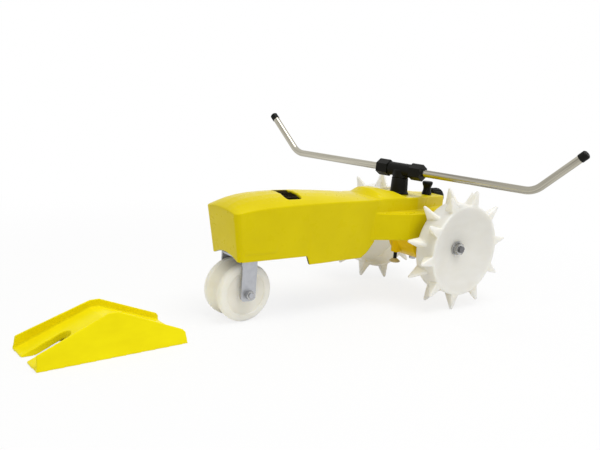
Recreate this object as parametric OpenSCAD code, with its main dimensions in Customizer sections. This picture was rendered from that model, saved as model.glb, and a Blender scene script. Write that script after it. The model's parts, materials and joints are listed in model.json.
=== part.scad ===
// Travelling sprinkler: a cast tractor that drives itself along a laid garden hose,
// turned by its own spinning spray arms, with the ramp that shuts its water off.
// X points forward, Y to the machine's left and Z up. The ground is z = 0.

/* [Rear wheels] */
// Radius of the rear wheel's tread
rim_r = 80; // [74:1:84]
// Radius at the spike tips
tip_r = 106; // [100:1:112]
// Width of the rear tread
tread_w = 41; // [36:1:44]
// Spikes in each of the two rows
spikes = 10; // [8:2:12]
// Distance between the outer faces of the rear wheels
track = 247; // [240:1:260]
// Thickness of a wheel's tread and dish
wheel_wall = 4; // [3:0.5:5]
// Depth of the dished outer face
dish_depth = 21; // [15:1:24]
// Width of a spike's foot along the tread
spike_w = 19; // [14:1:22]
// Diameter of the rear axle
axle_d = 12; // [10:0.5:14]

/* [Front wheel] */
// Distance between the rear and front axles
wheelbase = 384; // [376:1:400]
// Radius of the front wheel
front_r = 46; // [43:0.5:46]
// Width of the front wheel
front_w = 53; // [46:1:54]
// Thickness of the fork's strap
strap = 3; // [2:0.5:4]
// Width of the fork's strap
strap_w = 26; // [20:1:28]
// Diameter of the front axle bolt
front_bolt_d = 8; // [6:0.5:10]
// Diameter of the kingpin that the fork turns on
kingpin_d = 10; // [8:0.5:12]

/* [Body] */
// Wall of the casting
wall = 5; // [4:0.5:6]
// Half width of the body at its shoulder
half_top = 45; // [43:0.5:47]
// Half width of the body at its lower edge
half_low = 42; // [40:0.5:43]
// How far the nose reaches past the front axle
nose_reach = 39.5; // [34:0.5:44]
// Height of the crest of the body's top
crest_z = 200; // [196:1:204]
// Height of the shoulder where the side meets the top
shoulder_z = 186; // [182:1:188]
// Height of the nose's lower edge
nose_z = 99.5; // [98:0.5:102]
// Height of the skirt's lower edge
skirt_z = 85; // [80:1:92]
// Height of the arch over the front wheel, above the nose's lower edge
arch_h = 9; // [8:0.5:12]
// Height of the deck that the spray column stands on
deck_z = 187; // [185:0.5:189]
// Height of the hump in front of the column
hump_z = 201; // [198:1:205]
// Height of the shelf above the side wings
shelf_z = 163; // [160:1:166]
// Height of the case's lower edge
case_z = 117; // [116:0.5:119]
// Half width of the case at the side wings
wing_half = 71; // [70:0.5:73]
// Half width of the tail
tail_half = 18; // [16:1:22]
// Length of the hand hole in the top
window_l = 30; // [24:1:44]
// Width of the hand hole in the top
window_w = 45; // [30:1:50]

/* [Spray head] */
// Distance of the spray column ahead of the rear axle
column_x = 54; // [52:0.5:56]
// Diameter of the spray column
column_d = 30; // [27:0.5:32]
// Height of the spray arms' axis
arm_z = 230; // [226:1:236]
// Direction of the left arm at rest, from forward
arm_turn = 102; // [60:1:120]
// Distance from the column's axis to an arm's bend
arm_reach = 249; // [200:1:280]
// Length of an arm past its bend
arm_end = 101; // [70:1:130]
// Upward bend of an arm's end
arm_bend = 43; // [30:1:50]
// Outside diameter of the spray tubes
tube_d = 12.7; // [11:0.1:14]
// Wall of the spray tubes
tube_wall = 1.2; // [0.8:0.1:1.6]
// Width across the flats of the arm nuts
nut_flats = 26; // [24:0.5:28]
// Length of the arm nuts
nut_l = 23; // [18:0.5:26]

/* [Drive] */
// Teeth on the worm wheel
worm_wheel_teeth = 34; // [33:1:35]
// Module of the worm and its wheel
worm_module = 1.4; // [1.38:0.01:1.42]
// Pitch radius of the worm
worm_r = 7.8; // [7.7:0.05:8]
// Teeth on the sliding drive pinion
pinion_teeth = 13; // [13:1:14]
// Teeth on the axle gear
axle_gear_teeth = 42; // [40:1:42]
// Module of the pinion and the axle gear
spur_module = 1.5; // [1.48:0.01:1.52]
// Width of the pinion's and the axle gear's teeth
gear_w = 10; // [8:0.5:11]
// Diameter of the layshaft
layshaft_d = 8; // [7:0.5:9]
// Diameter of the spindle
spindle_d = 8; // [7:0.5:9]
// Travel of the drive pinion out of mesh
shift_travel = 12; // [11.5:0.5:13]

/* [Water and shut-off] */
// Outside diameter of the inlet tube
inlet_d = 14; // [13:0.5:15]
// Bore of the water way
bore_d = 11; // [9:0.5:11.5]
// Outside diameter of the hose nut
hose_nut_d = 34; // [32:0.5:36]
// Inside diameter of the hose nut's thread
hose_thread_d = 26.6; // [25:0.1:27.5]
// Travel of the shut-off plunger
plunger_travel = 12.5; // [12:0.5:13]
// Diameter of the plunger's rod
plunger_d = 6.5; // [6:0.5:7]
// Diameter of the plunger's foot
plunger_foot_d = 21; // [16:1:26]
// Height of the plunger's foot above the ground
plunger_foot_z = 54; // [50:1:58]

/* [Ramp] */
// Length of the ramp
ramp_l = 212; // [190:1:240]
// Width of the ramp at the ground
ramp_w = 90; // [80:1:110]
// Height of the ramp's side walls at the ridge
ramp_h = 57.5; // [50:0.5:66]
// Inward lean of the side walls
ramp_lean = 13; // [5:1:15]
// Distance of the ramp's rear edge ahead of the rear axle
ramp_x = 507; // [480:1:560]
// Distance of the middle of the ramp's rear edge to the machine's left
ramp_y = 25; // [-40:1:40]
// Turn of the ramp to the left as it is set down
ramp_turn = 3; // [0:0.5:6]
// Width of the slot for the hose
ramp_slot_w = 20; // [14:1:24]
// Length of the slot for the hose, to the middle of its round end
ramp_slot_l = 50; // [40:1:60]

/* [Hidden] */
$fn = 48;

// Clearances: a running fit on the radius, a free gap, and a small gap between moving faces
fit = 0.05;
gap = 0.6;
slip = 0.3;
// Overlap by which shapes of one piece run into each other
sink = 1;

// Rear axle and wheels
spike_step = 360 / spikes;
tip_half = 2;
// Height of the axle on spikes of this reach, that many in a row
function ride_height(reach, count) = reach * cos(90 / count) + tip_half * sin(90 / count);
axle_z = ride_height(tip_r, spikes);
// The case and all that it carries are drawn around an axle at this height, and ride with the real one
drawn_tip_r = 106;
drawn_spikes = 10;
axle_line = ride_height(drawn_tip_r, drawn_spikes);
axle_r = axle_d / 2;
wheel_out = track / 2;
wheel_in = wheel_out - tread_w;
hub_out = wheel_out - dish_depth;
hub_in = wheel_in + 2;
hub_r = 16;
washer_t = 2;
wheel_washer_r = 13;
wheel_nut_t = 8;
wheel_nut_flats = 19;
axle_end = hub_out + washer_t + wheel_nut_t + 3;
lug_in = 52;
lug_out = 64;
lug_r = 17;
bush_wall = 2;
bush_flange = 2;
drive_pin_d = 4;

// Front wheel, fork and kingpin
leg_in = front_w / 2 + 3;
leg_out = leg_in + strap;
fork_top = nose_z + 2;
leg_foot = 11;
kingpin_head_h = 3.5;
king_washer_t = 2;
boss_r = 13;
boss_z = fork_top + king_washer_t;
front_hub_r = 13;
front_recess_r = 35;
front_recess = 6;
hose_groove_h = 8;
hose_groove_half = 15;
hose_groove_r = (pow(hose_groove_half, 2) + pow(hose_groove_h, 2)) / (2 * hose_groove_h);

// Body lines: stations run from the nose back to the gear case
nose_x = wheelbase + nose_reach;
nose_lean = 0.178;
lean_run = 60;
nose_drop = 22;
nose_roll = 24;
shoulder_drop = 12;
shoulder_roll = 70;
tail_fall = 10;
fall_from = 110;
corner_r = 6;
skirt_front = 283;
skirt_rear = 168;
case_front = 150;
step_run = 6;
belly_line = [
    [141, 113], [148, 104], [156, skirt_z + 10], [skirt_rear, skirt_z + 2],
    [skirt_front - step_run, skirt_z], [skirt_front, nose_z]
];
stations = concat(
    [for (d = [0, 3, 8, 16, 26, 38, 54, 75, 105]) nose_x - d],
    [skirt_front, skirt_front - step_run, 240, 205, skirt_rear, 156, 148, 141]
);
crown_steps = [0.94, 0.82, 0.62, 0.36];
pad_half = half_low + 1.2;
pad_line = [
    [wheelbase + 26, nose_z + 36], [wheelbase - 41, nose_z + 36], [wheelbase - 41, nose_z + 17],
    [wheelbase - 39, nose_z + 13.5], [wheelbase - 35, nose_z + 12], [wheelbase + 14, nose_z + 13],
    [wheelbase + 18, nose_z + 14.5], [wheelbase + 20.5, nose_z + 18]
];
window_x = 310;
window_y = 10;

// Gear case outlines, seen from above and from the side
tail_x = -47;
neck_half = 44;
neck_plan = [
    [tail_x, -tail_half], [48, -neck_half], [case_front, -neck_half],
    [case_front, neck_half], [48, neck_half], [tail_x, tail_half]
];
wing_plan = [
    [-50, -46], [-27, -wing_half], [40, -wing_half], [85, -wing_half + 4], [case_front, -neck_half + 1],
    [case_front, neck_half - 1], [85, wing_half - 4], [40, wing_half], [-27, wing_half], [-50, 46]
];
neck_low = case_z;
deck_drop = 4.7;
drop_from = column_x - column_d / 2 - 3;
deck_line = [
    [tail_x - sink, neck_low - sink], [case_front + sink, neck_low - sink], [case_front + sink, deck_z],
    [drop_from, deck_z], [tail_x - sink, deck_z - deck_drop]
];
function deck_at(x) = lookup(x, [[tail_x - sink, deck_z - deck_drop], [drop_from, deck_z]]);
hump_from = column_x + column_d / 2 + 4;
hump_line = [
    [hump_from, deck_z - 8], [case_front + 20, deck_z - 8], [case_front + 20, hump_z],
    [121, hump_z - 0.5], [93, hump_z - 5], [hump_from, deck_z]
];
hump_crown = 76;
hump_x = 98;
hump_r = 54;
hump_slope = 1.15;

// Gear train: the layshaft lies behind the spindle and above the axle
worm_wheel_r = worm_wheel_teeth * worm_module / 2;
worm_pitch = PI * worm_module;
worm_core = worm_r - 1.4;
worm_tip = worm_r + 1.2;
worm_l = 24;
pinion_r = pinion_teeth * spur_module / 2;
axle_gear_r = axle_gear_teeth * spur_module / 2;
lay_x = column_x - worm_r - worm_wheel_r;
lay_z = axle_line + sqrt(pow(pinion_r + axle_gear_r, 2) - lay_x * lay_x);
mesh_turn = atan2(lay_z - axle_line, lay_x);
gear_y = 14;
lay_boss_in = 52;
lay_boss_r = 11;
lay_end = wing_half - wall;
lay_bush_wall = 2;
collar_r = 11;
groove_r = 7;
groove_w = 6;
collar_w = 2;
hex_flats = layshaft_d;

// Gear cover under the case
cover_t = 4;
cover_z = case_z + 2;
cover_plan = inset(wing_plan, wall + gap);
drum_r = axle_gear_r + 7;
drum_wall = 3.5;
drum_right = -30;
drum_left = 34;
screw_d = 5;
screw_spots = [[-38, -44], [-38, 44], [112, -44], [112, 44]];
screw_head = 3;
screw_grip = 16;

// Water way: the tube enters through the tail, the valve block lies under the deck
deck_in = deck_z - wall;
inlet_z = deck_in - 8.5;
inlet_y = -20;
block_x = 6;
block_front = column_x + 12;
block_left = 11;
block_low = inlet_z - 7.5;
spool_x = 31.5;
spool_y = -14;
block_right = inlet_y - 7;
boss_front = block_x - 1;
cross_x = 14;
spool_d = 14;
spool_l = 15;
spool_top = inlet_z - bore_d / 2 - 0.5;
spool_low = spool_top - spool_l;
skirt_low = spool_low - 4;
chamber_d = 14;
nut_front = tail_x - 4;
nut_rear = nut_front - 22;
nut_lip = 4;
thread_l = 12;
flange_t = 2.5;
hose_washer_t = 3;
nut_ribs = 18;

// Plunger
guide_r = 9;
foot_h = 7;
guide_low = plunger_foot_z + foot_h + plunger_travel + gap;
plunger_stop_d = plunger_d + 2;
plunger_stop_h = 4;

// Spray head
sleeve_top = arm_z - 14;
sleeve_floor = 4;
journal_d = 20;
seal_t = 2;
journal_low = deck_z + sleeve_floor + seal_t + slip;
rotor_bore = 13;
tee_d = 24;
nut_start = 23;
spigot_d = 18;
spigot_end = nut_start + nut_l - 5;
tube_start = 27;
bend_r = 38;
lap = 0.5;
bend_run = bend_r * tan(arm_bend / 2);
cap_l = 13;
cap_d = tube_d + 1.6;
cap_over = 9;
spider_low = journal_low + 4;
spider_h = 5;
bush_top = cover_z + cover_t + 3;
spindle_low = cover_z + sink + slip;

// Shift: the stem's crank slides the fork along its rail
shift_x = -6;
shift_y = 12;
crank_r = 15;
crank_turn = asin(shift_travel / 2 / crank_r);
stem_d = 8;
crank_z = shelf_z - wall - 5;
crank_t = 4;
crank_pin_d = 5;
rail_x = shift_x - crank_r + 0.5;
rail_d = 6;
rail_z = crank_z - 11;
fork_hub_r = 6;
knob_h = 24;
knob_r = 9;
knob_z = deck_at(shift_x + knob_r) + slip;
fork_y = gear_y + gear_w + collar_w + groove_w / 2;

// Ramp
ramp_front = ramp_x + ramp_l * cos(ramp_turn) + ramp_w / 2 * sin(ramp_turn);
ramp_wall = 3;
ramp_ridge = ramp_l / 2;
ramp_flat = 7;
ramp_rim = 11;
ramp_rear_h = 18.5;
ramp_front_h = 20;
ramp_lip = 2.5;
slot_depth = 11;
slot_wall = 2.5;

// The machine's origin is on the ground under the middle of its box
middle_x = (ramp_front - axle_z) / 2;

cast_yellow = "gold";
black = "#1c1c1a";
cream = "#e4e0d2";
zinc = "#c6cad0";
bright = "#d8d8d4";
steel = "#8a8c90";
brass = "#c8a548";
bronze = "#b08048";

// Shapes shared by several pieces

module stand() {
    translate([-middle_x, 0, 0]) children();
}

// The case and what it carries, at the height that the rear wheels give them
module on_axle() {
    translate([0, 0, axle_z - axle_line]) children();
}

module along_x(x0, x1, r, y, z) {
    translate([x0, y, z]) rotate([0, 90, 0]) cylinder(r = r, h = x1 - x0);
}

module along_y(y0, y1, r, x, z) {
    translate([x, y0, z]) rotate([-90, 0, 0]) cylinder(r = r, h = y1 - y0);
}

module hex_y(y0, y1, flats, x, z) {
    translate([x, y0, z]) rotate([-90, 0, 0]) cylinder(d = flats / cos(30), h = y1 - y0, $fn = 6);
}

module both_sides() {
    children();
    mirror([0, 1, 0]) children();
}

module plan(points, z0, z1) {
    translate([0, 0, z0]) linear_extrude(z1 - z0) polygon(points);
}

module side_view(points, y0, y1) {
    translate([0, y1, 0]) rotate([90, 0, 0]) linear_extrude(y1 - y0) polygon(points);
}

// Convex outline moved inwards by t
function normal_in(a, b) = [a[1] - b[1], b[0] - a[0]] / norm(b - a);
function meet(p, u, q, v) = p + u * (cross(q - p, v) / cross(u, v));
function inset(points, t) = [
    for (i = [0 : len(points) - 1])
        let (a = points[(i + len(points) - 1) % len(points)])
        let (b = points[i])
        let (c = points[(i + 1) % len(points)])
        meet(b + normal_in(a, b) * t, b - a, b + normal_in(b, c) * t, c - b)
];

// Involute gear outline with stub teeth and backlash
function involute(a) = tan(a) * 180 / PI - a;
function flank(n, m, r) =
    let (pitch = n * m / 2)
    let (base = pitch * cos(20))
    let (play = 0.3 / pitch * 180 / PI / 2)
    90 / n - play + involute(20) - (r > base ? involute(acos(base / r)) : 0);
function tooth_radii(n, m) =
    let (root = n * m / 2 - 1.2 * m)
    let (tip = n * m / 2 + 0.8 * m)
    [for (k = [0 : 4]) root + (tip - root) * k / 4];
function polar(r, a) = [r * cos(a), r * sin(a)];
function gear_outline(n, m) = [
    for (t = [0 : n - 1])
        for (s = [-1, 1])
            for (k = [0 : 4])
                let (r = tooth_radii(n, m)[s < 0 ? k : 4 - k])
                polar(r, t * 360 / n + s * flank(n, m, r))
];

module gear(n, m, w, turn) {
    rotate([90, 0, 0]) translate([0, 0, -w])
        linear_extrude(w) rotate(turn) polygon(gear_outline(n, m));
}

// Body casting

function crest(x) =
    crest_z - nose_drop * exp(-(nose_x - x) / nose_roll)
    - tail_fall * pow(max(0, nose_x - x - fall_from) / (nose_x - fall_from - case_front), 1.6);
function shoulder(x) = shoulder_z - shoulder_drop * exp(-(nose_x - x) / shoulder_roll);
function corner(d) = lookup(d, [[0, corner_r], [3, corner_r / 3], [8, 0]]);

function half_section(x, t) =
    let (d = nose_x - x)
    let (b = half_top - t - corner(d - t))
    concat(
        [[half_low - t - corner(d - t), lookup(x, belly_line) - (t > 0 ? sink : 0)], [b, shoulder(x) - t]],
        [for (k = crown_steps) [b * k, shoulder(x) + (crest(x) - shoulder(x)) * (1 - pow(k, 2.4)) - t]]
    );

function place(x, q) =
    [x - nose_lean * max(0, 1 - (nose_x - x) / lean_run) * (crest(nose_x) - q[1]), q[0], q[1]];

function section(x, t) =
    let (half = half_section(x, t))
    concat(
        [for (q = half) place(x, [-q[0], q[1]])],
        [place(x, [0, crest(x) - t])],
        [for (i = [len(half) - 1 : -1 : 0]) place(x, half[i])]
    );

module loft(rings) {
    n = len(rings[0]);
    last = len(rings) - 1;
    points = [for (ring = rings) each ring];
    walls = [
        for (i = [0 : last - 1])
            for (j = [0 : n - 1])
                let (a = i * n + j)
                let (b = i * n + (j + 1) % n)
                each [[a, a + n, b + n], [a, b + n, b]]
    ];
    front = [for (j = [0 : n - 1]) j];
    back = [for (j = [n - 1 : -1 : 0]) last * n + j];
    polyhedron(points, concat(walls, [front, back]));
}

module nose_solid() {
    loft([for (x = stations) section(x, 0)]);
}

module nose_hollow() {
    inner = concat([nose_x - wall], [for (x = stations) if (x < nose_x - wall - 1 && x > case_front + 5) x]);
    loft([for (x = concat(inner, [case_front + 5])) section(x, wall)]);
}

// The hump between the column and the nose: round in front, crowned across
module hump() {
    rise = hump_z - deck_z + 8;
    intersection() {
        side_view(hump_line, -neck_half, neck_half);
        translate([hump_x, 0, deck_z - 8])
            cylinder(r1 = hump_r + 8 * hump_slope, r2 = hump_r + (8 - rise) * hump_slope, h = rise);
        along_x(column_x, case_front + 30, hump_crown, 0, hump_z - hump_crown);
    }
}

// What lies below the deck, which is level round the column and falls towards the tail
module under_deck() {
    intersection() {
        children();
        side_view(deck_line, -neck_half - sink, neck_half + sink);
    }
}

module case_solid() {
    under_deck() plan(neck_plan, neck_low, deck_z + sink);
    hump();
    plan(wing_plan, case_z, shelf_z);
}

module case_hollow() {
    plan(inset(neck_plan, wall), neck_low - sink, deck_in - deck_drop);
    intersection() {
        plan(inset(neck_plan, wall), deck_in - 20, deck_in);
        translate([boss_front - 1, -neck_half, 0]) cube([case_front, 2 * neck_half, 2 * deck_z]);
    }
    intersection() {
        translate([0, 0, -wall]) hump();
        plan(inset(neck_plan, wall), deck_in - 20, hump_z);
    }
    plan(inset(wing_plan, wall), case_z - sink, shelf_z - wall);
}

module axle_lug() {
    translate([-lug_r, lug_in, axle_line]) cube([2 * lug_r, lug_out - lug_in, shelf_z - wall - axle_line + sink]);
    translate([-lug_r, lug_in, case_z])
        cube([2 * lug_r, wing_half - wall - lug_in + sink, shelf_z - wall - case_z]);
    along_y(lug_in, lug_out, lug_r, 0, axle_line);
}

module case_bosses() {
    both_sides() {
        along_y(lay_boss_in, wing_half - wall + sink, lay_boss_r, lay_x, lay_z);
        along_y(lug_out - 8, wing_half - wall + sink, rail_d / 2 + 4, rail_x, rail_z);
        axle_lug();
    }
    under_deck() along_x(tail_x, boss_front, inlet_d / 2 + wall, inlet_y, inlet_z);
    for (spot = screw_spots)
        translate([spot[0], spot[1], cover_z + cover_t])
            cylinder(d = 12, h = shelf_z - wall - cover_z - cover_t + sink);
}

module body_casting() {
    color(cast_yellow) difference() {
        union() {
            difference() {
                union() {
                    nose_solid();
                    both_sides() side_view(pad_line, half_low - 2, pad_half);
                    on_axle() case_solid();
                }
                nose_hollow();
                on_axle() case_hollow();
            }
            on_axle() case_bosses();
            translate([wheelbase, 0, boss_z])
                cylinder(r = boss_r, h = crest(wheelbase) - wall - boss_z + sink);
        }
        translate([window_x, window_y, shoulder_z - 20]) linear_extrude(40) rounded(window_l, window_w, 5);
        along_x(nose_x - wall - 20, nose_x, arch_radius(), 0, nose_z + arch_h - arch_radius());
        translate([wheelbase, 0, boss_z - sink]) cylinder(d = kingpin_d, h = 40);
        on_axle() case_bores();
    }
}

module case_bores() {
    translate([column_x, 0, deck_in - sink]) cylinder(d = chamber_d, h = wall + 10);
    translate([shift_x, shift_y, deck_in - deck_drop - sink]) cylinder(d = stem_d + 2 * fit, h = 20);
    along_x(tail_x - sink, boss_front + sink, inlet_d / 2, inlet_y, inlet_z);
    both_sides() {
        along_y(lug_in - sink, lug_out + sink, axle_r + bush_wall, 0, axle_line);
        along_y(lay_boss_in - sink, lay_end, layshaft_d / 2 + lay_bush_wall, lay_x, lay_z);
        along_y(lug_out - 8 - sink, lay_end, rail_d / 2, rail_x, rail_z);
    }
    for (spot = screw_spots)
        translate([spot[0], spot[1], cover_z]) cylinder(d = screw_d, h = cover_t + screw_grip + 4);
}

function arch_radius() = (pow(half_low - 8, 2) + arch_h * arch_h) / (2 * arch_h);

module rounded(l, w, r) {
    square([l - 2 * r, w], center = true);
    square([l, w - 2 * r], center = true);
    for (x = [-1, 1])
        for (y = [-1, 1])
            translate([x * (l / 2 - r), y * (w / 2 - r)]) circle(r);
}

module gear_cover() {
    color(cast_yellow) difference() {
        union() {
            plan(cover_plan, cover_z, cover_z + cover_t);
            intersection() {
                union() {
                    along_y(drum_right, drum_left, drum_r, 0, axle_line);
                    along_y(-9, 9, worm_wheel_r + 5, lay_x, lay_z);
                }
                translate([-drum_r, drum_right, 0])
                    cube([3 * drum_r, drum_left - drum_right, cover_z + sink]);
            }
            translate([spool_x, spool_y, guide_low])
                cylinder(r = guide_r, h = cover_z + cover_t - guide_low);
            translate([column_x, 0, cover_z]) cylinder(r = guide_r, h = bush_top - cover_z);
        }
        difference() {
            along_y(drum_right + drum_wall, drum_left - drum_wall, drum_r - drum_wall, 0, axle_line);
            translate([spool_x, spool_y, guide_low]) cylinder(r = guide_r, h = 80);
        }
        along_y(-6, 6, worm_wheel_r + 2, lay_x, lay_z);
        along_y(drum_right - sink, drum_left + sink, axle_r + gap, 0, axle_line);
        both_sides() translate([-lug_r - gap, lug_in - gap, cover_z - sink])
            cube([2 * (lug_r + gap), 30, 20]);
        translate([spool_x, spool_y, guide_low - sink]) cylinder(d = plunger_d + 2 * fit, h = 80);
        translate([column_x, 0, cover_z + sink]) cylinder(d = spindle_d + 2 * bush_wall, h = 20);
        translate([0, 0, axle_line - drum_r - sink]) cylinder(d = 8, h = drum_wall + 2 * sink);
        for (spot = screw_spots)
            translate([spot[0], spot[1], cover_z - sink]) cylinder(d = screw_d, h = 20);
    }
}

module gear_cover_screws() {
    color(zinc) for (spot = screw_spots)
        translate([spot[0], spot[1], cover_z - screw_head]) {
            cylinder(d = 2 * screw_d, h = screw_head, $fn = 6);
            cylinder(d = screw_d, h = screw_head + cover_t + screw_grip);
        }
}

module drain_plug() {
    color(zinc) translate([0, 0, axle_line - drum_r - 5]) {
        cylinder(d = 13, h = 4.5, $fn = 6);
        cylinder(d = 8, h = 5 + drum_wall);
    }
}

// Spray column and rotor

module bearing_column() {
    color(black) translate([column_x, 0, 0]) difference() {
        union() {
            translate([0, 0, deck_z]) cylinder(d = column_d + 5, h = 3);
            translate([0, 0, deck_z])
                cylinder(d1 = column_d + 1.5, d2 = column_d - 1, h = sleeve_top - deck_z);
        }
        translate([0, 0, deck_z - sink]) cylinder(d = chamber_d, h = 20);
        translate([0, 0, deck_z + sleeve_floor]) cylinder(d = journal_d + 2 * fit, h = 60);
    }
}

module column_seal() {
    color("#303030") translate([column_x, 0, deck_z + sleeve_floor]) difference() {
        cylinder(d = journal_d - 0.4, h = seal_t);
        translate([0, 0, -sink]) cylinder(d = chamber_d, h = seal_t + 2 * sink);
    }
}

module on_arm(turn) {
    translate([column_x, 0, arm_z]) rotate([0, 0, arm_turn + turn]) children();
}

module rotor_tee() {
    color(black) difference() {
        union() {
            on_arm(0) {
                along_x(-nut_start, nut_start, tee_d / 2, 0, 0);
                along_x(-spigot_end, spigot_end, spigot_d / 2, 0, 0);
            }
            translate([column_x, 0, sleeve_top + slip])
                cylinder(d = column_d - 2, h = arm_z - sleeve_top - slip);
            translate([column_x, 0, journal_low]) cylinder(d = journal_d, h = arm_z - journal_low);
        }
        on_arm(0) {
            along_x(-tube_start, tube_start, bore_d / 2 - 1, 0, 0);
            for (turn = [0, 180])
                rotate([0, 0, turn]) along_x(tube_start, spigot_end + sink, tube_d / 2 + fit, 0, 0);
        }
        translate([column_x, 0, journal_low - sink]) cylinder(d = rotor_bore, h = arm_z - journal_low + sink);
    }
}

module arm_nuts() {
    color(black) for (turn = [0, 180])
        on_arm(turn) difference() {
            translate([nut_start, 0, 0]) rotate([0, 90, 0])
                cylinder(d = nut_flats / cos(30), h = nut_l, $fn = 6);
            along_x(nut_start - sink, spigot_end, spigot_d / 2, 0, 0);
            along_x(nut_start, nut_start + nut_l + sink, tube_d / 2 + fit, 0, 0);
        }
}

module tube_ring() {
    difference() {
        circle(d = tube_d);
        circle(d = tube_d - 2 * tube_wall);
    }
}

module spray_tube(turn) {
    straight = arm_reach - bend_run;
    color(bright) on_arm(turn) {
        translate([tube_start + slip, 0, 0]) rotate([0, 90, 0])
            linear_extrude(straight - tube_start - slip) tube_ring();
        translate([straight, 0, bend_r]) rotate([90, 0, 0]) rotate([0, 0, -90])
            rotate_extrude(angle = arm_bend) translate([bend_r, 0]) tube_ring();
        on_arm_end(0) linear_extrude(arm_end - bend_run - cap_l + cap_over) tube_ring();
        translate([straight, 0, 0]) rotate([0, 90, 0]) tube_lap();
        on_arm_end(0) tube_lap();
    }
}

// Within the tube's wall, where a straight length runs into the bend
module tube_lap() {
    translate([0, 0, -lap]) linear_extrude(2 * lap) difference() {
        circle(d = tube_d - tube_wall / 2);
        circle(d = tube_d - tube_wall * 3 / 2);
    }
}

module on_arm_end(s) {
    straight = arm_reach - bend_run;
    translate([straight + bend_r * sin(arm_bend), 0, bend_r * (1 - cos(arm_bend))])
        rotate([0, 90 - arm_bend, 0]) translate([0, 0, s]) children();
}

module nozzle(turn) {
    color(black) on_arm(turn) on_arm_end(arm_end - bend_run - cap_l) difference() {
        union() {
            cylinder(d = cap_d, h = cap_l - 2);
            translate([0, 0, cap_l - 2]) cylinder(d1 = cap_d, d2 = cap_d - 4, h = 2);
        }
        translate([0, 0, -sink]) cylinder(d = tube_d, h = cap_over + sink);
        cylinder(d = 3.2, h = cap_l + sink);
    }
}

module left_spray_tube() {
    spray_tube(0);
}

module right_spray_tube() {
    spray_tube(180);
}

module left_nozzle() {
    nozzle(0);
}

module right_nozzle() {
    nozzle(180);
}

module spindle() {
    color(steel) translate([column_x, 0, 0]) {
        translate([0, 0, spindle_low]) cylinder(d = spindle_d, h = spider_low - spindle_low + sink);
        translate([0, 0, spider_low]) difference() {
            cylinder(d = rotor_bore, h = spider_h);
            for (a = [0, 120, 240])
                rotate(a) translate([rotor_bore / 2 - 2.2, 0, -sink])
                    cylinder(d = 3.2, h = spider_h + 2 * sink);
        }
    }
}

// Worm thread: a left-hand helix of trapezoid section sunk into the core

thread_steps = 16;
thread_turns = worm_l / worm_pitch - 0.8;
function thread_ring(k) =
    let (a = 180 + (k / thread_steps - thread_turns / 2) * 360)
    let (z = -(a - 180) / 360 * worm_pitch)
    [for (q = [[worm_core - 0.5, -1.35], [worm_tip, -0.6], [worm_tip, 0.6], [worm_core - 0.5, 1.35]])
        [q[0] * cos(a), q[0] * sin(a), z + q[1]]];

module worm() {
    rings = [for (k = [floor(thread_turns * thread_steps) : -1 : 0]) thread_ring(k)];
    color(steel) translate([column_x, 0, lay_z]) difference() {
        union() {
            translate([0, 0, -worm_l / 2]) cylinder(r = worm_core, h = worm_l);
            loft(rings);
        }
        translate([0, 0, -worm_l / 2 - sink]) cylinder(d = spindle_d, h = worm_l + 2 * sink);
    }
}

module spindle_bush() {
    color(bronze) translate([column_x, 0, cover_z + sink]) difference() {
        cylinder(d = spindle_d + 2 * bush_wall, h = bush_top - cover_z - sink);
        translate([0, 0, -sink]) cylinder(d = spindle_d + 2 * fit, h = 30);
    }
}

// Layshaft with the worm wheel and the sliding pinion

module layshaft() {
    hex_from = gear_y - 2;
    hex_to = lay_boss_in - 2;
    color(steel) {
        along_y(-lay_end + slip, lay_end - slip, layshaft_d / 2, lay_x, lay_z);
        hex_y(hex_from, hex_to, hex_flats, lay_x, lay_z);
    }
}

module worm_wheel() {
    step = 360 / worm_wheel_teeth;
    root = worm_wheel_r - 1.6;
    tip = worm_wheel_r + 1;
    outline = [
        for (t = [0 : worm_wheel_teeth - 1])
            each [
                polar(root, (t + 0.5) * step - 2.1), polar(tip, (t + 0.5) * step - 1),
                polar(tip, (t + 0.5) * step + 1), polar(root, (t + 0.5) * step + 2.1)
            ]
    ];
    color(bronze) translate([lay_x, 0, lay_z]) difference() {
        union() {
            rotate([90, 0, 0]) translate([0, 0, -4]) linear_extrude(8) polygon(outline);
            along_y(0, 10, 8, 0, 0);
        }
        along_y(-10, 20, layshaft_d / 2, 0, 0);
    }
}

module drive_pinion() {
    groove_y = gear_y + gear_w + collar_w;
    pinion_turn = mesh_turn + 180 + 180 / pinion_teeth;
    color(steel) translate([lay_x, 0, lay_z]) difference() {
        union() {
            translate([0, gear_y, 0]) gear(pinion_teeth, spur_module, gear_w, pinion_turn);
            along_y(gear_y + gear_w, groove_y, collar_r, 0, 0);
            along_y(groove_y - sink, groove_y + groove_w + sink, groove_r, 0, 0);
            along_y(groove_y + groove_w, groove_y + groove_w + collar_w, collar_r, 0, 0);
        }
        hex_y(gear_y - sink, groove_y + groove_w + collar_w + sink, hex_flats + 2 * fit, 0, 0);
    }
}

module layshaft_bushes() {
    color(bronze) both_sides() difference() {
        along_y(lay_boss_in, lay_end, layshaft_d / 2 + lay_bush_wall, lay_x, lay_z);
        along_y(lay_boss_in - sink, lay_end + sink, layshaft_d / 2 + fit, lay_x, lay_z);
    }
}

// Rear axle

module rear_axle() {
    color(steel) difference() {
        along_y(-axle_end, axle_end, axle_r, 0, axle_line);
        both_sides() drive_pin_bar(0);
    }
}

module drive_pin_bar(extra) {
    translate([0, hub_in + 4, axle_line - hub_r + 2]) cylinder(d = drive_pin_d + 2 * extra, h = 2 * hub_r - 4);
}

module axle_gear() {
    color(bronze) difference() {
        translate([0, gear_y + gap, axle_line]) gear(axle_gear_teeth, spur_module, gear_w - 2 * gap, mesh_turn);
        along_y(gear_y - sink, gear_y + gear_w + sink, axle_r, 0, axle_line);
    }
}

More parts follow.
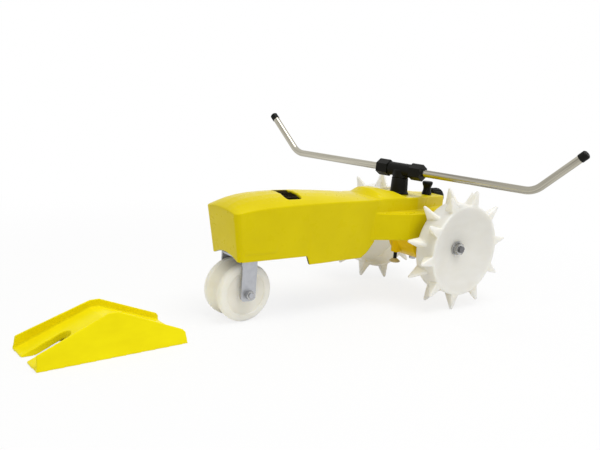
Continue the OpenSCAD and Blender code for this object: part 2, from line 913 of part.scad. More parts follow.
module axle_bushes() {
    color(bronze) both_sides() difference() {
        union() {
            along_y(lug_in, lug_out, axle_r + bush_wall, 0, axle_line);
            along_y(lug_out, lug_out + bush_flange, axle_r + 2 * bush_wall, 0, axle_line);
        }
        along_y(lug_in - sink, lug_out + bush_flange + sink, axle_r + fit, 0, axle_line);
    }
}

module axle_spacers() {
    color(zinc) both_sides() difference() {
        along_y(lug_out + bush_flange + slip, hub_in, axle_r + 3, 0, axle_line);
        along_y(lug_out, hub_in + sink, axle_r, 0, axle_line);
    }
}

module drive_pins() {
    color(zinc) both_sides() drive_pin_bar(0);
}

// A spike rises at one edge of the tread and slopes down to the other
module spike(out) {
    edge = out ? 0.5 : tread_w - 0.5;
    away = out ? tread_w - 3 : 3;
    tip_y = out ? 3 : tread_w - 3;
    foot = rim_r - wheel_wall / 2;
    points = [
        [-spike_w / 2, edge, foot], [spike_w / 2, edge, foot], [1.5, away, foot], [-1.5, away, foot],
        [-tip_half, tip_y - tip_half, tip_r], [tip_half, tip_y - tip_half, tip_r],
        [tip_half, tip_y + tip_half, tip_r], [-tip_half, tip_y + tip_half, tip_r]
    ];
    flip = out ? 0 : 1;
    near = flip ? [7, 6] : [4, 5];
    far = flip ? [5, 4] : [6, 7];
    sides = [
        [0, 1, near[1]], [0, near[1], near[0]],
        [1, 2, far[0]], [1, far[0], near[1]],
        [2, 3, far[1]], [2, far[1], far[0]],
        [3, 0, near[0]], [3, near[0], far[1]],
        [near[0], near[1], far[0]], [near[0], far[0], far[1]],
        [0, 3, 2], [0, 2, 1]
    ];
    polyhedron(points, flip ? sides : [for (f = sides) [f[0], f[2], f[1]]]);
}

// Wheel section in radius and depth, depth counted inwards from the outer face
module wheel_section() {
    polygon([
        [rim_r - wheel_wall, tread_w], [rim_r, tread_w], [rim_r, 0], [rim_r - wheel_wall, 0],
        [hub_r, dish_depth], [axle_r, dish_depth], [axle_r, wheel_out - hub_in], [hub_r, wheel_out - hub_in],
        [hub_r + 2, dish_depth + wheel_wall + 1], [rim_r - wheel_wall, wheel_wall + 1]
    ]);
}

module left_wheel() {
    color(cream) difference() {
        translate([0, wheel_out, axle_line]) rotate([90, 0, 0]) union() {
            rotate_extrude() wheel_section();
            for (k = [0 : spikes - 1]) {
                turn_to_spike((k + 0.25) * spike_step) spike(true);
                turn_to_spike((k - 0.25) * spike_step) spike(false);
            }
        }
        drive_pin_bar(fit);
        translate([-drive_pin_d / 2 - fit, hub_in - sink, axle_line - hub_r + 2])
            cube([drive_pin_d + 2 * fit, 4 + sink, 2 * hub_r - 4]);
    }
}

// Spike frame: x along the tread, y inwards across it, z out from the axle; a turn of 0 points down
module turn_to_spike(turn) {
    rotate([0, 0, turn]) rotate([90, 0, 0]) children();
}

module left_rear_wheel() {
    left_wheel();
}

module right_rear_wheel() {
    mirror([0, 1, 0]) left_wheel();
}

module wheel_washers() {
    color(zinc) both_sides() difference() {
        along_y(hub_out, hub_out + washer_t, wheel_washer_r, 0, axle_line);
        along_y(hub_out - sink, hub_out + washer_t + sink, axle_r, 0, axle_line);
    }
}

module wheel_nuts() {
    nut_y = hub_out + washer_t;
    color(zinc) both_sides() difference() {
        union() {
            hex_y(nut_y, nut_y + wheel_nut_t, wheel_nut_flats, 0, axle_line);
            along_y(nut_y, nut_y + 1.5, wheel_nut_flats / 2 + 1.5, 0, axle_line);
        }
        along_y(nut_y - sink, nut_y + wheel_nut_t + sink, axle_r, 0, axle_line);
    }
}

// Shift

module shift_knob() {
    waist = 7;
    color(black) translate([shift_x, shift_y, knob_z]) difference() {
        rotate_extrude() polygon([
            [0, 0], [knob_r, 0], [knob_r, 2], [waist, 8], [waist, 13], [9.5, knob_h - 4], [9.5, knob_h - 1],
            [8.5, knob_h], [0, knob_h]
        ]);
        translate([0, 0, -sink]) cylinder(d = stem_d, h = knob_h - 6 + sink);
    }
}

module shift_stem() {
    color(steel) translate([shift_x, shift_y, 0]) {
        translate([0, 0, crank_z]) cylinder(d = stem_d, h = knob_z + knob_h - 6 - crank_z);
        rotate([0, 0, 180 + crank_turn]) {
            translate([0, -4, crank_z]) cube([crank_r, 8, crank_t]);
            translate([crank_r, 0, crank_z - 5]) cylinder(d = crank_pin_d, h = 5 + crank_t);
        }
    }
}

module shift_fork() {
    lug_y = shift_y - shift_travel / 2;
    slot = crank_pin_d / 2 + slip;
    color(steel) difference() {
        union() {
            along_y(lug_y - slot - 4, fork_y + 2, fork_hub_r, rail_x, rail_z);
            for (y = [lug_y - slot - 4, lug_y + slot])
                translate([rail_x - 6, y, rail_z]) cube([12, 4, crank_z - 1 - rail_z]);
            translate([rail_x, fork_y - 2, lay_z - 8])
                cube([lay_x - rail_x, 4, rail_z + fork_hub_r - lay_z + 8]);
        }
        along_y(-20, 60, rail_d / 2 + fit, rail_x, rail_z);
        along_y(fork_y - 3, fork_y + 3, groove_r + slip, lay_x, lay_z);
    }
}

module shift_rail() {
    color(steel) along_y(-lay_end, lay_end, rail_d / 2, rail_x, rail_z);
}

// Water way and shut-off

module valve_body() {
    color(brass) difference() {
        union() {
            translate([block_x, block_right, block_low])
                cube([block_front - block_x, block_left - block_right, deck_in - block_low]);
            translate([spool_x, spool_y, skirt_low])
                cylinder(r = spool_d / 2 + 2, h = block_low - skirt_low + sink);
        }
        along_x(block_x - sink, cross_x, bore_d / 2, inlet_y, inlet_z);
        along_y(inlet_y, spool_y, bore_d / 2, cross_x, inlet_z);
        along_x(cross_x, column_x, bore_d / 2, spool_y, inlet_z);
        along_y(spool_y, 0, bore_d / 2, column_x, inlet_z);
        translate([column_x, 0, inlet_z]) cylinder(d = chamber_d, h = 40);
        translate([column_x, 0, block_low - sink]) cylinder(d = spindle_d + 2 * fit, h = 40);
        translate([spool_x, spool_y, skirt_low - sink])
            cylinder(d = spool_d, h = spool_top + plunger_travel + slip + sink - skirt_low);
    }
}

module inlet_tube() {
    flange_x = nut_front - nut_lip - slip;
    color(brass) difference() {
        union() {
            along_x(flange_x - flange_t, block_x, inlet_d / 2, inlet_y, inlet_z);
            along_x(flange_x - flange_t, flange_x, inlet_d / 2 + 4, inlet_y, inlet_z);
        }
        along_x(flange_x - flange_t - sink, block_x + sink, bore_d / 2, inlet_y, inlet_z);
    }
}

module hose_nut() {
    rib_r = hose_nut_d / 2 - 1.8;
    color(black) translate([0, inlet_y, inlet_z]) difference() {
        union() {
            along_x(nut_rear, nut_front, hose_nut_d / 2 - 1.5, 0, 0);
            for (k = [0 : nut_ribs - 1])
                let (a = k * 360 / nut_ribs)
                along_x(nut_rear + 2, nut_front - 2, 1.8, rib_r * cos(a), rib_r * sin(a));
        }
        along_x(nut_rear - sink, nut_front - nut_lip, hose_thread_d / 2, 0, 0);
        along_x(nut_rear + thread_l, nut_front - nut_lip, hose_thread_d / 2 + 0.8, 0, 0);
        along_x(nut_rear, nut_front + sink, inlet_d / 2 + slip, 0, 0);
    }
}

module hose_washer() {
    washer_x = nut_front - nut_lip - slip - flange_t;
    color("#303030") difference() {
        along_x(washer_x - hose_washer_t, washer_x, inlet_d / 2 + 4, inlet_y, inlet_z);
        along_x(washer_x - hose_washer_t - sink, washer_x + sink, bore_d / 2, inlet_y, inlet_z);
    }
}

module plunger_rod() {
    stop_z = cover_z + cover_t;
    color(black) translate([spool_x, spool_y, 0]) {
        translate([0, 0, plunger_foot_z + foot_h])
            cylinder(d = plunger_d, h = spool_low - plunger_foot_z - foot_h);
        translate([0, 0, stop_z]) cylinder(d = plunger_stop_d, h = plunger_stop_h);
    }
}

module plunger_foot() {
    color(cream) translate([spool_x, spool_y, plunger_foot_z]) {
        cylinder(d1 = plunger_foot_d - 4, d2 = plunger_foot_d, h = 2);
        translate([0, 0, 2]) cylinder(d1 = plunger_foot_d, d2 = plunger_d + 2, h = foot_h - 2);
    }
}

module valve_spool() {
    color(black) translate([spool_x, spool_y, spool_low]) cylinder(d = spool_d - 2 * fit, h = spool_l);
}

// Front fork and wheel

module front_fork() {
    color(zinc) translate([wheelbase, 0, 0]) difference() {
        union() {
            translate([-strap_w / 2, -leg_out, fork_top - strap]) cube([strap_w, 2 * leg_out, strap]);
            both_sides() {
                translate([-strap_w / 2, leg_in, front_r]) cube([strap_w, strap, fork_top - front_r]);
                side_view([
                    [-strap_w / 2, front_r + sink], [-strap_w / 2, front_r - leg_foot + 4],
                    [-strap_w / 2 + 5, front_r - leg_foot], [strap_w / 2 - 5, front_r - leg_foot],
                    [strap_w / 2, front_r - leg_foot + 4], [strap_w / 2, front_r + sink]
                ], leg_in, leg_out);
            }
        }
        translate([0, 0, fork_top - strap - sink]) cylinder(d = kingpin_d + 2 * fit, h = strap + 2 * sink);
        along_y(-leg_out - sink, leg_out + sink, front_bolt_d / 2, 0, front_r);
    }
}

module kingpin() {
    color(zinc) translate([wheelbase, 0, fork_top - strap - slip]) {
        translate([0, 0, -kingpin_head_h]) cylinder(d = kingpin_d + 7, h = kingpin_head_h, $fn = 6);
        cylinder(d = kingpin_d, h = 40);
    }
}

module kingpin_washer() {
    color(zinc) translate([wheelbase, 0, fork_top + slip]) difference() {
        cylinder(d = 2 * boss_r, h = king_washer_t - slip);
        translate([0, 0, -sink]) cylinder(d = kingpin_d, h = 10);
    }
}

module front_wheel() {
    half = front_w / 2;
    color(cream) translate([wheelbase, 0, front_r]) rotate([90, 0, 0]) rotate_extrude() difference() {
        union() {
            translate([0, -half + 5]) square([front_r, front_w - 10]);
            translate([0, -half]) square([front_r - 5, front_w]);
            for (y = [-half + 5, half - 5])
                translate([front_r - 5, y]) circle(5);
        }
        for (y = [-half - sink, half - front_recess])
            translate([front_hub_r, y]) square([front_recess_r - front_hub_r, front_recess + sink]);
        translate([front_r - hose_groove_h + hose_groove_r, 0]) circle(hose_groove_r);
        translate([-10, -half - sink]) square([10 + front_bolt_d / 2 + bush_wall, front_w + 2 * sink]);
    }
}

module front_wheel_bushes() {
    half = front_w / 2;
    color(bronze) both_sides() translate([wheelbase, 0, front_r]) difference() {
        union() {
            along_y(half - 14, half, front_bolt_d / 2 + bush_wall, 0, 0);
            along_y(half, leg_in - slip, front_bolt_d / 2 + 4, 0, 0);
        }
        along_y(half - 15, leg_in + sink, front_bolt_d / 2 + fit, 0, 0);
    }
}

module front_axle_bolt() {
    color(zinc) translate([wheelbase, 0, front_r]) {
        along_y(-leg_out, leg_out + 9, front_bolt_d / 2, 0, 0);
        hex_y(-leg_out - 5, -leg_out, 13, 0, 0);
    }
}

module front_axle_nut() {
    color(zinc) translate([wheelbase, 0, front_r]) difference() {
        hex_y(leg_out, leg_out + 7, 13, 0, 0);
        along_y(leg_out - sink, leg_out + 8, front_bolt_d / 2, 0, 0);
    }
}

// Ramp

// A bar along the ramp whose sides lean inwards as they rise
module ramp_bar(half) {
    rise = ramp_h + 10;
    lean = tan(ramp_lean);
    translate([-10, 0, 0]) rotate([90, 0, 90]) linear_extrude(ramp_l + 20) polygon([
        [-half - sink * lean, -sink], [half + sink * lean, -sink],
        [half - rise * lean, rise], [-half + rise * lean, rise]
    ]);
}

// Open-ended slot of the given width, round at its inner end
module hose_slot(width) {
    translate([ramp_l - ramp_slot_l, -width / 2, -sink]) cube([ramp_l, width, ramp_h]);
    translate([ramp_l - ramp_slot_l, 0, -sink]) cylinder(d = width, h = ramp_h);
}

module shutoff_ramp() {
    deck_h = ramp_h - ramp_rim;
    rear_deck = ramp_rear_h - ramp_rim;
    side = [
        [0, 0], [ramp_l, 0], [ramp_l - 1.5, ramp_front_h], [ramp_ridge + ramp_flat, ramp_h],
        [ramp_ridge - ramp_flat, ramp_h], [6, ramp_rear_h + 1.5], [2, ramp_rear_h - 3]
    ];
    over = [
        [-5, rear_deck], [0, rear_deck], [ramp_ridge - ramp_flat, deck_h], [ramp_ridge + ramp_flat, deck_h],
        [ramp_l, ramp_lip], [ramp_l + 5, ramp_lip], [ramp_l + 5, ramp_h + 5], [-5, ramp_h + 5]
    ];
    under = [
        [ramp_wall, -sink], [ramp_l - 5, -sink], [ramp_ridge + ramp_flat - 1, deck_h - 1.2 * ramp_wall],
        [ramp_ridge - ramp_flat + 1, deck_h - 1.2 * ramp_wall], [ramp_wall, rear_deck - ramp_wall]
    ];
    slot_rim = [
        [ramp_ridge + ramp_flat, deck_h - slot_depth], [ramp_l, ramp_lip - slot_depth], [ramp_l, ramp_h],
        [ramp_ridge + ramp_flat, ramp_h]
    ];
    half = ramp_w / 2;
    color("#f0e316") translate([ramp_x, ramp_y, 0]) rotate([0, 0, ramp_turn]) difference() {
        intersection() {
            side_view(side, -half, half);
            ramp_bar(half);
        }
        intersection() {
            union() {
                side_view(over, -half, half);
                difference() {
                    side_view(under, -half, half);
                    intersection() {
                        side_view(slot_rim, -half, half);
                        hose_slot(ramp_slot_w + 2 * slot_wall);
                    }
                }
            }
            ramp_bar(half - ramp_wall);
        }
        hose_slot(ramp_slot_w);
    }
}

stand() body_casting();
stand() on_axle() gear_cover();
stand() on_axle() gear_cover_screws();
stand() on_axle() drain_plug();
stand() on_axle() bearing_column();
stand() on_axle() column_seal();
stand() on_axle() valve_body();
stand() on_axle() inlet_tube();
stand() on_axle() hose_nut();
stand() on_axle() hose_washer();
stand() on_axle() rotor_tee();
stand() on_axle() spindle();
stand() on_axle() worm();
stand() on_axle() spindle_bush();
stand() on_axle() arm_nuts();
stand() on_axle() left_spray_tube();
stand() on_axle() right_spray_tube();
stand() on_axle() left_nozzle();
stand() on_axle() right_nozzle();
stand() on_axle() layshaft();
stand() on_axle() worm_wheel();
stand() on_axle() drive_pinion();
stand() on_axle() layshaft_bushes();
stand() on_axle() rear_axle();
stand() on_axle() axle_gear();
stand() on_axle() axle_bushes();
stand() on_axle() axle_spacers();
stand() on_axle() drive_pins();
stand() on_axle() left_rear_wheel();
stand() on_axle() right_rear_wheel();
stand() on_axle() wheel_washers();
stand() on_axle() wheel_nuts();
stand() on_axle() shift_knob();
stand() on_axle() shift_stem();
stand() on_axle() shift_fork();
stand() on_axle() shift_rail();
stand() on_axle() plunger_rod();
stand() on_axle() plunger_foot();
stand() on_axle() valve_spool();
stand() front_fork();
stand() kingpin();
stand() kingpin_washer();
stand() front_wheel();
stand() front_wheel_bushes();
stand() front_axle_bolt();
stand() front_axle_nut();
stand() shutoff_ramp();
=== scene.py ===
import json
import math

import bmesh
import bpy
from mathutils import Matrix, Vector


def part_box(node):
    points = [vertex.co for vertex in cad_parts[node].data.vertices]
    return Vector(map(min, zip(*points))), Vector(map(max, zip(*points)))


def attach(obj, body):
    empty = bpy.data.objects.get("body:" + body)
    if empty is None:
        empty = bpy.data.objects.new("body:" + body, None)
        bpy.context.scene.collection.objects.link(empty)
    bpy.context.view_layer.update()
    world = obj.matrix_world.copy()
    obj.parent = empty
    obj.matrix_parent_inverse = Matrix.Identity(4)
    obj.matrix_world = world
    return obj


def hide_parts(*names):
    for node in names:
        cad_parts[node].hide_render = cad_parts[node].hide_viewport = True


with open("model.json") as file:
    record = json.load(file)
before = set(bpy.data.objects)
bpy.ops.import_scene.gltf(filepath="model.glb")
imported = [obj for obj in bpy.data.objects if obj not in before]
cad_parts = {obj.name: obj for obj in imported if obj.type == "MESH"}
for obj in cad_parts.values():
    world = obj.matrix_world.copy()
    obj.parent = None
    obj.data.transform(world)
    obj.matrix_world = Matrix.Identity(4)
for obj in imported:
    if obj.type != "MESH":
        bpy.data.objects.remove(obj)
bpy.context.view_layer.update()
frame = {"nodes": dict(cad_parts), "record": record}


# Places taken from the solids, in metres

def middle_of(node):
    low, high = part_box(node)
    return (low + high) / 2


WHEELBASE = 0.384
AXLE = middle_of("rear_axle")
FRONT_AXLE = Vector((middle_of("front_axle_bolt").x, 0.0, middle_of("front_wheel").z))
ORIGIN_X = FRONT_AXLE.x - WHEELBASE
WHEEL_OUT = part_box("left_rear_wheel")[1].y
HOSE_NUT = middle_of("hose_nut")
NUT_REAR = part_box("hose_nut")[0].x


# Materials

CORNER_RANGE = (0.43, 0.495)
EDGE_RANGE = (0.53, 0.60)
# Corner colours are the shade tone darkened: painted shade in corners and creases.
PAINT_CORNER_SHADE = 0.72
PLASTIC_CORNER_SHADE = 0.86
PAINT_SHINE = (1.0, 0.88, 0.12)
CLEAR_COAT = (1.0, 0.97, 0.80)
# Near-black painted shade for the inner walls of the nose.
INSIDE_SHADE = (0.060, 0.045, 0.018)
GLOW_REACH = 0.016
GLOW_COLOURS = (1.0, 0.95, 0.85)


def node_of(tree, kind, **sockets):
    node = tree.nodes.new(kind)
    for key, value in sockets.items():
        node.inputs[key.replace("_", " ")].default_value = value
    return node


def noise(tree, coords, scale, detail=3.0, stretch=None):
    source = coords.outputs["Object"]
    if stretch:
        turn = tree.nodes.new("ShaderNodeMapping")
        turn.inputs["Scale"].default_value = stretch
        tree.links.new(source, turn.inputs["Vector"])
        source = turn.outputs["Vector"]
    field = node_of(tree, "ShaderNodeTexNoise", Scale=scale, Detail=detail, Roughness=0.55)
    tree.links.new(source, field.inputs["Vector"])
    return field.outputs["Fac"]


def spread(tree, value, low, high, start=0.3, stop=0.7):
    ramp = tree.nodes.new("ShaderNodeMapRange")
    ramp.inputs["From Min"].default_value = start
    ramp.inputs["From Max"].default_value = stop
    ramp.inputs["To Min"].default_value = low
    ramp.inputs["To Max"].default_value = high
    tree.links.new(value, ramp.inputs["Value"])
    return ramp.outputs["Result"]


def blend_colours(tree, factor, first, second):
    mix = tree.nodes.new("ShaderNodeMix")
    mix.data_type = "RGBA"
    tree.links.new(factor, mix.inputs["Factor"])
    for socket, value in ((mix.inputs[6], first), (mix.inputs[7], second)):
        if isinstance(value, bpy.types.NodeSocket):
            tree.links.new(value, socket)
        else:
            socket.default_value = (*value, 1.0)
    return mix.outputs[2]


def new_material(name):
    material = bpy.data.materials.new(name)
    material.use_nodes = True
    tree = material.node_tree
    shader = tree.nodes["Principled BSDF"]
    coords = tree.nodes.new("ShaderNodeTexCoord")
    return material, tree, shader, coords


def add_bump(tree, shader, height, strength, distance):
    bump = node_of(tree, "ShaderNodeBump", Strength=strength, Distance=distance)
    tree.links.new(height, bump.inputs["Height"])
    tree.links.new(bump.outputs["Normal"], shader.inputs["Normal"])


def lit_edges_shaded_corners(tree, base, lit_edge, shaded_corner):
    """Painted highlight: convex edges get the lighter colour. Painted shade: corners and creases
    get a darker colour.
    """
    shape = tree.nodes.new("ShaderNodeNewGeometry")
    corner = spread(tree, shape.outputs["Pointiness"], 1.0, 0.0, *CORNER_RANGE)
    edge = spread(tree, shape.outputs["Pointiness"], 0.0, 1.0, *EDGE_RANGE)
    return blend_colours(tree, edge, blend_colours(tree, corner, base, shaded_corner), lit_edge)


def enamel(name, colour, shade, rough):
    """Thick paint over a sand casting: slow changes of tone, orange peel and a satin shine."""
    material, tree, shader, coords = new_material(name)
    tone = spread(tree, noise(tree, coords, 14.0, 4.0), 0.0, 1.0, 0.35, 0.72)
    base = blend_colours(tree, tone, colour, shade)
    # Painted highlight on edges and painted shade in corners.
    edge_and_corner_light = lit_edges_shaded_corners(tree, base, colour, tuple(PAINT_CORNER_SHADE * c for c in shade))
    # Painted shade: the marked inner walls of the nose turn near-black.
    inside = tree.nodes.new("ShaderNodeAttribute")
    inside.attribute_name = "inside"
    with_inside_shade = blend_colours(tree, inside.outputs["Fac"], edge_and_corner_light, INSIDE_SHADE)
    tree.links.new(with_inside_shade, shader.inputs["Base Color"])
    gloss = spread(tree, noise(tree, coords, 60.0), rough - 0.06, rough + 0.10)
    tree.links.new(gloss, shader.inputs["Roughness"])
    shader.inputs["Specular IOR Level"].default_value = 0.16
    shader.inputs["Specular Tint"].default_value = (*PAINT_SHINE, 1.0)
    shader.inputs["Coat Weight"].default_value = 0.06
    shader.inputs["Coat Roughness"].default_value = 0.07
    shader.inputs["Coat Tint"].default_value = (*CLEAR_COAT, 1.0)
    add_bump(tree, shader, noise(tree, coords, 420.0, 4.0), 0.14, 0.0005)
    return material


def moulded(name, colour, shade, rough, shine=0.3, tint=(1.0, 1.0, 1.0), glow=0.0):
    """Moulded plastic with a satin skin, faint flow marks and, where pale, light inside it."""
    material, tree, shader, coords = new_material(name)
    flow = spread(tree, noise(tree, coords, 22.0, 2.0, (1.0, 1.0, 2.2)), 0.0, 1.0)
    base = blend_colours(tree, flow, colour, shade)
    # Painted highlight on edges and painted shade in corners.
    edge_and_corner_light = lit_edges_shaded_corners(tree, base, colour, tuple(PLASTIC_CORNER_SHADE * c for c in shade))
    tree.links.new(edge_and_corner_light, shader.inputs["Base Color"])
    gloss = spread(tree, noise(tree, coords, 90.0), rough - 0.05, rough + 0.08)
    tree.links.new(gloss, shader.inputs["Roughness"])
    shader.inputs["Specular IOR Level"].default_value = shine
    shader.inputs["Specular Tint"].default_value = (*tint, 1.0)
    if glow:
        shader.inputs["Subsurface Weight"].default_value = glow
        shader.inputs["Subsurface Radius"].default_value = GLOW_COLOURS
        shader.inputs["Subsurface Scale"].default_value = GLOW_REACH
    add_bump(tree, shader, noise(tree, coords, 420.0, 2.0), 0.12, 0.0002)
    return material


def metal(name, colour, shade, rough, fine=260.0, along_tube_streaks=False):
    """Plated or turned metal with a broken polish, or tube with light and dark bands along its
    length that are partly drawing streaks and partly painted reflection.
    """
    material, tree, shader, coords = new_material(name)
    # On tube the bands run along the length and change round it: partly drawing streaks and partly
    # painted reflection.
    if along_tube_streaks:
        lie = tree.nodes.new("ShaderNodeAttribute")
        lie.attribute_name = "lie"
        field = node_of(tree, "ShaderNodeTexNoise", Scale=fine, Detail=5.0, Roughness=0.6)
        tree.links.new(lie.outputs["Vector"], field.inputs["Vector"])
        polish_streaks_and_painted_reflections = field.outputs["Fac"]
    else:
        polish_streaks_and_painted_reflections = noise(tree, coords, fine, 4.0)
    base = blend_colours(tree, spread(tree, polish_streaks_and_painted_reflections, 0.0, 1.0), colour, shade)
    tree.links.new(base, shader.inputs["Base Color"])
    shader.inputs["Metallic"].default_value = 1.0
    gloss = spread(tree, noise(tree, coords, 35.0, 4.0), rough - 0.06, rough + 0.12)
    tree.links.new(gloss, shader.inputs["Roughness"])
    add_bump(tree, shader, polish_streaks_and_painted_reflections, 0.08, 0.0002)
    return material


yellow_enamel = enamel("yellow_enamel", (0.73, 0.60, 0.002), (0.67, 0.54, 0.002), 0.30)
# The gear cover's enamel is a brighter, more orange copy of the yellow: painted bounce light for a
# part that sits in shade.
cover_enamel_painted_bounce = enamel("cover_enamel_painted_bounce", (0.98, 0.68, 0.002), (0.92, 0.62, 0.002), 0.42)
ramp_yellow = moulded(
    "ramp_yellow", (0.94, 0.82, 0.005), (0.88, 0.75, 0.004), 0.38, 0.25, PAINT_SHINE
)
wheel_white = moulded(
    "wheel_white", (0.92, 0.895, 0.815), (0.88, 0.85, 0.76), 0.42, 0.30, glow=0.90
)
foot_cream = moulded("foot_cream", (0.74, 0.68, 0.48), (0.66, 0.60, 0.42), 0.5)
black_nylon = moulded("black_nylon", (0.004, 0.004, 0.003), (0.008, 0.008, 0.006), 0.38, 0.11)
black_rubber = moulded("black_rubber", (0.014, 0.014, 0.014), (0.024, 0.024, 0.023), 0.7, 0.2)
# Tube colours: light and dark bands, partly drawing streaks and partly painted reflection.
bright_tube = metal("bright_tube", (0.60, 0.57, 0.47), (0.215, 0.20, 0.165), 0.12, 1.7, along_tube_streaks=True)
zinc_plate = metal("zinc_plate", (0.51, 0.52, 0.55), (0.45, 0.46, 0.49), 0.38, 160.0)
nut_zinc = metal("nut_zinc", (0.58, 0.58, 0.57), (0.36, 0.36, 0.35), 0.20, 160.0)
# Steel given a dark colour that stands in for the shade on the axle end: painted shade.
steel_with_painted_shade = metal("steel_with_painted_shade", (0.22, 0.22, 0.22), (0.14, 0.14, 0.15), 0.30)
yellow_brass = metal("yellow_brass", (0.72, 0.52, 0.20), (0.60, 0.42, 0.15), 0.30)
oiled_bronze = metal("oiled_bronze", (0.55, 0.34, 0.14), (0.43, 0.26, 0.10), 0.38)

FINISH = {
    "yellow_casting": yellow_enamel,
    "cream_plastic": wheel_white,
    "black_plastic": black_nylon,
    "black_rubber": black_rubber,
    "stainless": bright_tube,
    "zinc_plate": zinc_plate,
    "machined_steel": steel_with_painted_shade,
    "brass": yellow_brass,
    "bronze": oiled_bronze,
    "yellow_plastic": ramp_yellow,
}
SLOT_OF = {s["node"]: s["material_slot"] for s in frame["record"]["subparts"]}
BODY_OF = {
    node: body for body, nodes in frame["record"]["behaviour"]["bodies"].items() for node in nodes
}


def set_material(mesh, material):
    mesh.materials.clear()
    mesh.materials.append(material)


for name, solid in frame["nodes"].items():
    set_material(solid.data, FINISH[SLOT_OF[name]])


# Making pieces

SAME_POINT = 2e-6
FLAT_ENOUGH = 0.006
EDGE_ANGLE = 32
SPIKE_ANGLE = 20


def show(name, mesh):
    piece = bpy.data.objects.new(name, mesh)
    bpy.context.scene.collection.objects.link(piece)
    return piece


def settle(name, maker, material):
    """The maker object with its modifiers worked out, as a plain mesh at the origin."""
    bpy.context.view_layer.update()
    worked = maker.evaluated_get(bpy.context.evaluated_depsgraph_get())
    mesh = bpy.data.meshes.new_from_object(worked)
    mesh.name = name
    bpy.data.objects.remove(maker)
    set_material(mesh, material)
    return show(name, mesh)


def merged_copy(node, flat=None):
    """A joined copy of a solid's loose triangles, its flat faces made whole if asked for."""
    mesh = bpy.data.meshes.new(node + "_copy")
    form = bmesh.new()
    form.from_mesh(frame["nodes"][node].data)
    bmesh.ops.remove_doubles(form, verts=form.verts, dist=SAME_POINT)
    if flat:
        bmesh.ops.dissolve_limit(form, angle_limit=flat, verts=form.verts, edges=form.edges)
    form.to_mesh(mesh)
    form.free()
    mesh.shade_smooth()
    return show(node + "_copy", mesh)


def even_shading(maker):
    """Broad faces keep their own flat shading, and the rounds take up the turn."""
    even = maker.modifiers.new("even", "WEIGHTED_NORMAL")
    even.keep_sharp = True
    even.weight = 60


def round_edges(maker, width, segments, limit):
    bevel = maker.modifiers.new("edge", "BEVEL")
    bevel.width = width
    bevel.segments = segments
    bevel.limit_method = "ANGLE"
    bevel.angle_limit = math.radians(limit)
    bevel.use_clamp_overlap = True


def hand_over(piece, node):
    """The piece stands for this solid and moves with its body."""
    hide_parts(node)
    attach(piece, BODY_OF[node])
    return piece


def mould(maker, grid, passes, keep):
    """One skin over the whole shape, its edges and inner corners eased as a mould leaves them."""
    skin = maker.modifiers.new("skin", "REMESH")
    skin.mode = "VOXEL"
    skin.voxel_size = grid
    skin.use_smooth_shade = True
    ease = maker.modifiers.new("ease", "SMOOTH")
    ease.factor = 0.5
    ease.iterations = passes
    thin = maker.modifiers.new("thin", "DECIMATE")
    thin.ratio = keep


def cast_form(name, node, material, grid, passes, keep):
    """A cast or moulded piece in the solid's shape."""
    maker = merged_copy(node)
    mould(maker, grid, passes, keep)
    piece = settle(name, maker, material)
    piece.data.shade_smooth()
    return hand_over(piece, node)


def eased(node, width, material, segments=2):
    """A machined or moulded piece with a small round along its edges."""
    maker = merged_copy(node, FLAT_ENOUGH)
    round_edges(maker, width, segments, EDGE_ANGLE)
    even_shading(maker)
    hand_over(settle(node + "_piece", maker, material), node)


# Turned pieces and what stands on them in rings

def rounded_outline(corners, steps=4):
    """A closed outline from (radius, depth, round) corners, in millimetres."""
    line = []
    count = len(corners)
    for i, (r, d, ease) in enumerate(corners):
        here = Vector((r, d))
        if not ease:
            line.append(here)
            continue
        back = Vector(corners[i - 1][:2]) - here
        ahead = Vector(corners[(i + 1) % count][:2]) - here
        reach = min(ease, 0.48 * back.length, 0.48 * ahead.length)
        a = here + back.normalized() * reach
        b = here + ahead.normalized() * reach
        for k in range(steps + 1):
            t = k / steps
            line.append(a * (1 - t) ** 2 + here * 2 * t * (1 - t) + b * t ** 2)
    return line


def turned(name, outline, segments=96):
    """The outline turned about the Y axis; depth runs towards minus Y."""
    form = bmesh.new()
    rings = []
    for k in range(segments):
        a = 2 * math.pi * k / segments
        rings.append([
            form.verts.new((p.x * math.sin(a) / 1000, -p.y / 1000, p.x * math.cos(a) / 1000))
            for p in outline
        ])
    for k in range(segments):
        one, two = rings[k], rings[(k + 1) % segments]
        for i in range(len(outline)):
            j = (i + 1) % len(outline)
            form.faces.new((one[i], one[j], two[j], two[i]))
    bmesh.ops.recalc_face_normals(form, faces=form.faces)
    mesh = bpy.data.meshes.new(name)
    form.to_mesh(mesh)
    form.free()
    mesh.shade_smooth()
    return show(name, mesh)


def solid_of(name, points, faces):
    mesh = bpy.data.meshes.new(name)
    mesh.from_pydata(points, [], faces)
    form = bmesh.new()
    form.from_mesh(mesh)
    bmesh.ops.recalc_face_normals(form, faces=form.faces)
    form.to_mesh(mesh)
    form.free()
    mesh.shade_smooth()
    return show(name, mesh)


